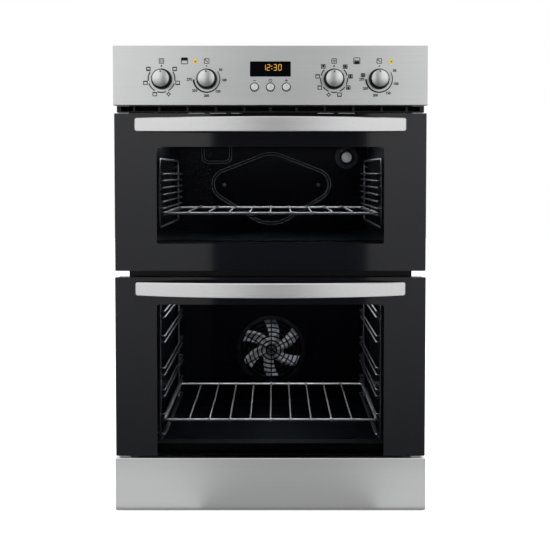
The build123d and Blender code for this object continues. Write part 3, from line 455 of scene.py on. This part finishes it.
# which oven each pair of knobs is for
for cx, top in ((-0.1617, True), (0.1627, False)):
    cz = 0.8590
    box_line(bm, cx, cz, 0.0130, 0.0126, 0.0013, 0.0020)
    if top:
        ink(bm, rounded(cx, cz + 0.0030, 0.0112, 0.0052, 0.0006))
    else:
        ink(bm, rounded(cx, cz - 0.0026, 0.0094, 0.0050, 0.0006))
        bar(bm, cx - 0.0056, cz + 0.0012, cx + 0.0056, cz + 0.0012, 0.0010)
# small mark on each amber lens
for cx in (-0.1414, 0.2274):
    ink(bm, rounded(cx, 0.8574, 0.0024, 0.0024, 0.0006), y0=FACE - 0.00040, y1=FACE - 0.00021)
# marks over the keys
for x, k in ((-0.030, "-"), (0.0, "c"), (0.030, "+")):
    z = 0.8220
    if k == "c":
        ink(bm, circle(x, z, 0.0034, 24), [circle(x, z, 0.0024, 24)])
        bar(bm, x, z, x, z + 0.0019, 0.0006)
        bar(bm, x, z, x + 0.0014, z, 0.0006)
    else:
        bar(bm, x - 0.0028, z, x + 0.0028, z, 0.0011)
        if k == "+":
            bar(bm, x, z - 0.0028, x, z + 0.0028, 0.0011)
piece("panel_print", bm, INK, "carcass")

bm = bmesh.new()
for x in (-0.030, 0.0, 0.030):
    plate(bm, circle(x, 0.8097, 0.0086, 48), FACE - 0.0004, FACE - 0.00001, [circle(x, 0.8097, 0.0072, 48)])
piece("key_rings", bm, PLASTIC, "carcass")

# clock digits
bm = bmesh.new()
SEG = {"1": "bc", "2": "abged", "3": "abgcd", "0": "abcdef"}


def digit(bm, ch, cx, cz, w, h, t):
    g = t * 0.18
    sh = w * 0.06

    def seg(x0, z0, x1, z1):
        d = Vector((x1 - x0, z1 - z0))
        L = d.length
        d.normalize()
        n = Vector((-d.y, d.x))
        a = Vector((x0, z0)) + d * g
        b = Vector((x1, z1)) - d * g
        k = t / 2
        pts = [a, a + d * k + n * k, b - d * k + n * k, b, b - d * k - n * k, a + d * k - n * k]
        ys = Y0 - 0.00065
        plate(bm, [(cx + p.x + sh * (p.y / h), cz + p.y) for p in pts], ys, ys + 0.0001)

    w2, h2 = w / 2, h / 2
    S = {"a": (-w2, h2, w2, h2), "b": (w2, h2, w2, 0), "c": (w2, 0, w2, -h2), "d": (-w2, -h2, w2, -h2),
         "e": (-w2, 0, -w2, -h2), "f": (-w2, h2, -w2, 0), "g": (-w2, 0, w2, 0)}
    for s in SEG[ch]:
        seg(*S[s])


dz = 0.84655
for ch, x in (("1", -0.0118), ("2", -0.0035), ("3", 0.0088), ("0", 0.0180)):
    digit(bm, ch, x, dz, 0.0052, 0.0108, 0.0008)
for z in (-0.0026, 0.0026):
    plate(bm, circle(0.0026, dz + z, 0.0008, 16), Y0 - 0.00065, Y0 - 0.00055)
piece("clock_digits", bm, DIGIT, "carcass")

# ------------------------------------------------------------------ printed borders of the doors
GY = -0.283


def half_profile_window(z0, z1, xh, r=0.004):
    return rounded(0, (z0 + z1) / 2, 2 * xh, z1 - z0, r)


bm = bmesh.new()
plate(bm, rounded(0, (0.4617 + 0.7610) / 2, 2 * 0.2946, 0.2993 - 0.0014, 0.0016), GY - 0.00008, GY - 0.00001,
      [half_profile_window(0.5140, 0.6976, 0.2155)])
piece("upper_door_print", bm, PRINT, "upper_door")
bm = bmesh.new()
lz0, lz1 = 0.1065 + 0.0007, 0.4506 - 0.0007
xo, xi, zt = 0.2950, 0.2165, 0.3980
plate(bm, [(-xo, lz0), (-xo, lz1), (xo, lz1), (xo, lz0), (xi, lz0), (xi, zt - 0.003), (xi - 0.003, zt), (-xi + 0.003, zt), (-xi, zt - 0.003), (-xi, lz0)],
      GY - 0.00008, GY - 0.00001)
piece("main_door_print", bm, PRINT, "main_door")


# black sheet behind the slots over the upper door: painted shade, so the slots show dark
bm = bmesh.new()
plate(bm, rounded(0, 0.7692, 2 * 0.2915, 0.0118, 0.0005), -0.2440, -0.2425)
for x in (-0.272, 0.272):
    plate(bm, rounded(x, 0.7692, 0.0022, 0.0106, 0.0003), -0.2600, -0.2440)
piece("vent_baffle", bm, MATT, "carcass")


# ------------------------------------------------------------------ turned knob faces
def lathe(bm, profile, cx, cz, n=72):
    """profile is (radius, y) from the centre out. Axis along Y through (cx, cz)."""
    rows = []
    for r, y in profile:
        if r < 1e-7:
            rows.append([bm.verts.new((cx, y, cz))])
        else:
            rows.append([bm.verts.new((cx + r * math.sin(2 * math.pi * i / n), y, cz + r * math.cos(2 * math.pi * i / n))) for i in range(n)])
    for a, b in zip(rows, rows[1:]):
        for i in range(n):
            j = (i + 1) % n
            if len(a) == 1:
                bm.faces.new([a[0], b[i], b[j]])
            elif len(b) == 1:
                bm.faces.new([a[i], b[0], a[j]])
            else:
                bm.faces.new([a[i], b[i], b[j], a[j]])


for i, (cx, body) in enumerate(((-0.205, "knob_upper_function"), (-0.120, "knob_upper_temperature"), (0.120, "knob_main_function"), (0.205, "knob_main_temperature"))):
    bm = bmesh.new()
    prof = [(0, -0.3064)]
    for k in range(1, 13):
        r = 0.0159 * k / 12
        prof.append((r, -0.3064 + 0.0021 * (r / 0.0159) ** 2))
    prof += [(0.0159, -0.3026), (0, -0.3026)]
    lathe(bm, prof, cx, KZ)
    o = piece("knob_face_%d" % (i + 1), bm, CAP, body, smooth=True)
    bm = bmesh.new()
    lathe(bm, [(0.01592, -0.3028), (0.01592, -0.3042), (0.0162, -0.3045), (0.0168, -0.3043), (0.0172, -0.3037), (0.0175, -0.3024), (0.0175, -0.2890), (0.0172, -0.2881), (0.0156, -0.2880), (0.0155, -0.3026), (0.01592, -0.3028)], cx, KZ)
    o = piece("knob_rim_%d" % (i + 1), bm, MATT, body, smooth=True)
    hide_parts("knob_cap_%d" % (i + 1))
    bm = bmesh.new()
    plate(bm, circle(cx, KZ + 0.0126, 0.0015, 20), -0.3056, -0.3040)
    piece("knob_mark_%d" % (i + 1), bm, INK, body)

# dark rings around the knobs: partly the black skirt the knobs turn in, partly painted shade of the gap around them
bm = bmesh.new()
for cx in (-0.205, -0.120, 0.120, 0.205):
    plate(bm, circle(cx, KZ, 0.0196, 72), FACE - 0.0011, FACE - 0.00001, [circle(cx, KZ, 0.0178, 72)])
piece("knob_skirts", bm, MATT, "carcass")

# domed faces of the three keys
for nm, cx in (("minus", -0.030), ("clock", 0.0), ("plus", 0.030)):
    bm = bmesh.new()
    prof = [(0, -0.2875)]
    for k in range(1, 9):
        r = 0.0058 * k / 8
        prof.append((r, -0.2875 + 0.0007 * (r / 0.0058) ** 2))
    prof += [(0.0063, -0.2864), (0.0066, -0.2859), (0.00675, -0.2852), (0.00675, -0.2765), (0.0064, -0.2760), (0, -0.2760)]
    lathe(bm, prof, cx, 0.8097, 48)
    o = piece("key_face_" + nm, bm, BUTTON, "key_" + nm, smooth=True)

# ------------------------------------------------------------------ pressed lines in the upper oven, with painted highlights along their edges
def inset(pts, d):
    """A convex outline moved inward by d."""
    n = len(pts)
    mid = Vector((sum(p[0] for p in pts) / n, sum(p[1] for p in pts) / n))
    lines = []
    for i in range(n):
        a, b = Vector(pts[i]), Vector(pts[(i + 1) % n])
        u = (b - a).normalized()
        m = Vector((-u.y, u.x))
        if (mid - a).dot(m) < 0:
            m = -m
        lines.append((a + m * d, u))
    out = []
    for i in range(n):
        (p, u), (q, v) = lines[i - 1], lines[i]
        k = ((q - p).x * v.y - (q - p).y * v.x) / (u.x * v.y - u.y * v.x)
        out.append(tuple(p + u * k))
    return out


def fillet(pts, r, seg=14):
    n, out = len(pts), []
    for i in range(n):
        p0, p1, p2 = Vector(pts[i - 1]), Vector(pts[i]), Vector(pts[(i + 1) % n])
        a, b = (p0 - p1).normalized(), (p2 - p1).normalized()
        half = math.acos(max(-1, min(1, a.dot(b)))) / 2
        ri = r[i] if isinstance(r, list) else r
        t = min(ri / math.tan(half), (p0 - p1).length * 0.52, (p2 - p1).length * 0.52)
        rr = t * math.tan(half)
        c = p1 + (a + b).normalized() * (rr / math.sin(half))
        s0, s1 = p1 + a * t - c, p1 + b * t - c
        ang = s0.angle_signed(s1) if s0.length and s1.length else 0
        for k in range(seg + 1):
            w = -ang * k / seg
            out.append((c.x + s0.x * math.cos(w) - s0.y * math.sin(w), c.y + s0.x * math.sin(w) + s0.y * math.cos(w)))
    return out


# the pressed field is a rhombus with broad round corners
RHOMB = [(-0.186, 0.629), (0.0, 0.7014), (0.186, 0.629), (0.0, 0.5117)]
YB = 0.190
bm = bmesh.new()
plate(bm, rounded(0, 0.6235, 0.455, 0.226, 0.0215), YB, YB + 0.0015, [circle(0.176, 0.684, 0.021, 48)])
for d in (0.0, 0.0058):
    out_ = [r - d for r in (0.038, 0.068, 0.038, 0.080)]
    in_ = [r - 0.0024 for r in out_]
    plate(bm, fillet(inset(RHOMB, d), out_), YB - 0.0014, YB + 0.0001, [fillet(inset(RHOMB, d + 0.0024), in_)])
for g in (0.0, 0.0056):
    plate(bm, rounded(-0.1275, 0.695, 0.072 - 2 * g, 0.052 - 2 * g, 0.018 - g), YB - 0.0014, YB + 0.0001,
          [rounded(-0.1275, 0.695, 0.0674 - 2 * g, 0.0474 - 2 * g, 0.0157 - g)])
o = piece("upper_back_panel", bm, CAVITY, "carcass")
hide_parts("upper_cavity_back")
# painted highlights along the edges of the relief: light grey lines standing in for light catching them
bm = bmesh.new()
for d in (0.0004, 0.0062):
    out_ = [r - d for r in (0.038, 0.068, 0.038, 0.080)]
    in_ = [r - 0.0009 for r in out_]
    plate(bm, fillet(inset(RHOMB, d), out_), YB - 0.0017, YB - 0.0014, [fillet(inset(RHOMB, d + 0.0009), in_)])
for g in (0.0004, 0.0060):
    plate(bm, rounded(-0.1275, 0.695, 0.072 - 2 * g, 0.052 - 2 * g, 0.018 - g), YB - 0.0017, YB - 0.0014,
          [rounded(-0.1275, 0.695, 0.0704 - 2 * g, 0.0504 - 2 * g, 0.0172 - g)])
piece("back_wall_lines", bm, EDGE_PAINTED_HIGHLIGHT, "carcass")
# the two screws of the panel
bm = bmesh.new()
for x in (-0.1099, 0.1099):
    lathe(bm, [(0, 0.1878), (0.0012, 0.1878), (0.0014, 0.1884), (0.0026, 0.1879), (0.0038, 0.1885), (0.0042, 0.1898), (0, 0.1899)], x, 0.6195, 32)
piece("back_wall_screws", bm, SHEATH, "carcass", smooth=True)
bm = bmesh.new()
lathe(bm, [(0, 0.1790), (0.005, 0.1792), (0.0095, 0.1800), (0.0116, 0.1815), (0.0120, 0.1835), (0, 0.1835)], 0.176, 0.684, 40)
piece("lamp_bulb_glass", bm, BULB, "carcass", smooth=True)

# bright front of each swept fan blade: a light grey plate over the steel blade, painted light standing in for the light
# the blades catch
def sweep(pts, k):
    a = math.radians(60 * k)
    return [(x * math.cos(a) - z * math.sin(a), 0.231 + x * math.sin(a) + z * math.cos(a)) for x, z in pts]


def bow(p0, p1, p2, n=12):
    """Points on the circle through three points."""
    ax, ay, bx, by, cx_, cy = *p0, *p1, *p2
    d = 2 * (ax * (by - cy) + bx * (cy - ay) + cx_ * (ay - by))
    ux = ((ax ** 2 + ay ** 2) * (by - cy) + (bx ** 2 + by ** 2) * (cy - ay) + (cx_ ** 2 + cy ** 2) * (ay - by)) / d
    uy = ((ax ** 2 + ay ** 2) * (cx_ - bx) + (bx ** 2 + by ** 2) * (ax - cx_) + (cx_ ** 2 + cy ** 2) * (bx - ax)) / d
    r = math.hypot(ax - ux, ay - uy)
    t0, t1 = math.atan2(ay - uy, ax - ux), math.atan2(cy - uy, cx_ - ux)
    while t1 - t0 > math.pi:
        t1 -= 2 * math.pi
    while t1 - t0 < -math.pi:
        t1 += 2 * math.pi
    return [(ux + r * math.cos(t0 + (t1 - t0) * i / n), uy + r * math.sin(t0 + (t1 - t0) * i / n)) for i in range(n + 1)]


bm = bmesh.new()
edge = bow((0.0150, -0.0070), (0.0420, 0.0030), (0.0650, 0.0270)) + bow((0.0490, 0.0490), (0.0280, 0.0226), (0.0110, 0.0095))
for k in range(6):
    plate(bm, sweep(edge, k), 0.2100, 0.2104)
piece("fan_blade_faces", bm, BLADE_PAINTED_LIGHT, "fan_rotor")

# ------------------------------------------------------------------ smooth shading for round CAD parts
for name, o in NODES.items():
    for f in o.data.polygons:
        f.use_smooth = True
    o.data.set_sharp_from_angle(angle=math.radians(30))
for o in list(bpy.context.scene.objects):
    if o.name.startswith(("knob_face", "knob_rim", "key_face")):
        o.data.set_sharp_from_angle(angle=math.radians(35))

# ------------------------------------------------------------------ floor, light, camera
def simple(name, colour, rough=0.6, emit=0.0):
    m, nt, p = new_mat(name)
    p.inputs["Base Color"].default_value = (*colour, 1)
    p.inputs["Roughness"].default_value = rough
    p.inputs["Specular IOR Level"].default_value = 0.1
    if emit:
        p.inputs["Emission Color"].default_value = (*colour, 1)
        p.inputs["Emission Strength"].default_value = emit
    return m


bm = bmesh.new()
bmesh.ops.create_grid(bm, x_segments=1, y_segments=1, size=8)
me = bpy.data.meshes.new("floor")
bm.to_mesh(me)
bm.free()
floor = bpy.data.objects.new("floor", me)
bpy.context.scene.collection.objects.link(floor)
me.materials.append(simple("floor_pale", (0.93, 0.93, 0.93), 0.8, 0.42))
# seen through from below
nt = me.materials[0].node_tree
geo = nt.nodes.new("ShaderNodeNewGeometry")
mixer = nt.nodes.new("ShaderNodeMixShader")
clear = nt.nodes.new("ShaderNodeBsdfTransparent")
nt.links.new(geo.outputs["Backfacing"], mixer.inputs[0])
nt.links.new(nt.nodes["Principled BSDF"].outputs[0], mixer.inputs[1])
nt.links.new(clear.outputs[0], mixer.inputs[2])
nt.links.new(mixer.outputs[0], nt.nodes["Material Output"].inputs["Surface"])
floor.visible_glossy = False
floor.location = (0, 0, -0.0002)


def card(name, w, h, loc, look, colour, strength):
    bm = bmesh.new()
    bmesh.ops.create_grid(bm, x_segments=1, y_segments=1, size=0.5)
    me = bpy.data.meshes.new(name)
    bm.to_mesh(me)
    bm.free()
    o = bpy.data.objects.new(name, me)
    bpy.context.scene.collection.objects.link(o)
    o.scale = (w, h, 1)
    o.location = loc
    d = Vector(look) - Vector(loc)
    o.rotation_euler = d.to_track_quat("-Z", "Y").to_euler()
    m = bpy.data.materials.new(name)
    m.use_nodes = True
    nt = m.node_tree
    nt.nodes.clear()
    out = nt.nodes.new("ShaderNodeOutputMaterial")
    e = nt.nodes.new("ShaderNodeEmission")
    e.inputs["Color"].default_value = (*colour, 1)
    e.inputs["Strength"].default_value = strength
    nt.links.new(e.outputs[0], out.inputs["Surface"])
    me.materials.append(m)
    o.visible_shadow = False
    o.visible_diffuse = False
    o.visible_camera = False
    return o


def area(name, w, h, loc, look, power, colour=(1, 1, 1), glossy=False):
    L = bpy.data.lights.new(name, "AREA")
    L.shape = "RECTANGLE"
    L.size, L.size_y = w, h
    L.energy = power
    L.color = colour
    o = bpy.data.objects.new(name, L)
    bpy.context.scene.collection.objects.link(o)
    o.location = loc
    d = Vector(look) - Vector(loc)
    o.rotation_euler = d.to_track_quat("-Z", "Y").to_euler()
    o.visible_glossy = glossy
    return o


card("dark_card", 0.66, 4.8, (0.07, -2.75, 0.7), (0.07, 0, 0.7), (1, 1, 1), 0.0)
# pale floor close in front, which the bottom panel mirrors
card("near_floor_left", 1.2, 0.34, (-0.735, -0.47, 0.0004), (-0.735, -0.47, 1), (1, 1, 1), 0.66)
card("near_floor_middle", 0.34, 0.34, (0.035, -0.47, 0.0004), (0.035, -0.47, 1), (1, 1, 1), 0.36)
card("near_floor_right", 1.2, 0.34, (0.805, -0.47, 0.0004), (0.805, -0.47, 1), (1, 1, 1), 0.66)
area("soft_left", 1.1, 2.4, (-1.75, -1.9, 1.1), (0, -0.2, 0.5), 12)
area("soft_right", 1.1, 2.4, (1.75, -1.9, 1.1), (0, -0.2, 0.5), 12)
area("soft_top", 2.2, 1.6, (0, -0.9, 2.3), (0, 0, 0.4), 10)
# light that reaches into the two ovens
inside = []
for nm, z, y, power in (("upper", 0.712, -0.06, 1.9), ("main", 0.408, -0.06, 2.5)):
    L = area("glow_" + nm, 0.40, 0.30, (0, y, z), (0, y, z - 1), power, glossy=True)
    inside.append(L)

w = bpy.data.worlds.new("studio")
bpy.context.scene.world = w
w.use_nodes = True
nt = w.node_tree
bg = nt.nodes["Background"]
bg.inputs["Color"].default_value = (1, 1, 1, 1)
bg.inputs["Strength"].default_value = 1.0
bg2 = nt.nodes.new("ShaderNodeBackground")
bg2.inputs["Strength"].default_value = 1.0
tc = nt.nodes.new("ShaderNodeTexCoord")
sep = nt.nodes.new("ShaderNodeSeparateXYZ")
nt.links.new(tc.outputs["Generated"], sep.inputs[0])
up = nt.nodes.new("ShaderNodeMapRange")
up.inputs["From Min"].default_value = -1.0
nt.links.new(sep.outputs["Z"], up.inputs["Value"])
# darker below the horizon, as in a studio with a grey floor
sky = ramp(nt, up.outputs["Result"], [(0.0, 0.10), (0.28, 0.20), (0.37, 0.32), (0.44, 0.84), (0.48, 1.05), (0.52, 1.45), (0.56, 1.50), (0.70, 1.42), (1.0, 1.42)])
nt.links.new(sky, bg2.inputs["Color"])
lp = nt.nodes.new("ShaderNodeLightPath")
mx = nt.nodes.new("ShaderNodeMixShader")
nt.links.new(lp.outputs["Is Camera Ray"], mx.inputs[0])
nt.links.new(bg2.outputs[0], mx.inputs[1])
nt.links.new(bg.outputs[0], mx.inputs[2])
nt.links.new(mx.outputs[0], nt.nodes["World Output"].inputs["Surface"])

sc = bpy.context.scene
sc.view_settings.view_transform = "Standard"
sc.view_settings.look = "None"

cam = bpy.data.cameras.new("camera")
cam.sensor_width = 36
cam.lens = 68.8
cam.dof.use_dof = False
co = bpy.data.objects.new("camera", cam)
bpy.context.scene.collection.objects.link(co)
CZ = 0.650
cam.shift_y = -0.10
co.location = (0.0, FACE - 1.99, CZ)
tilt = math.atan((CZ - 0.4545) / 1.99) - math.atan(0.10 * 36 / 68.8)
co.rotation_euler = (math.radians(90) - tilt, 0, 0)
co.location.x = 0.0087
sc.camera = co
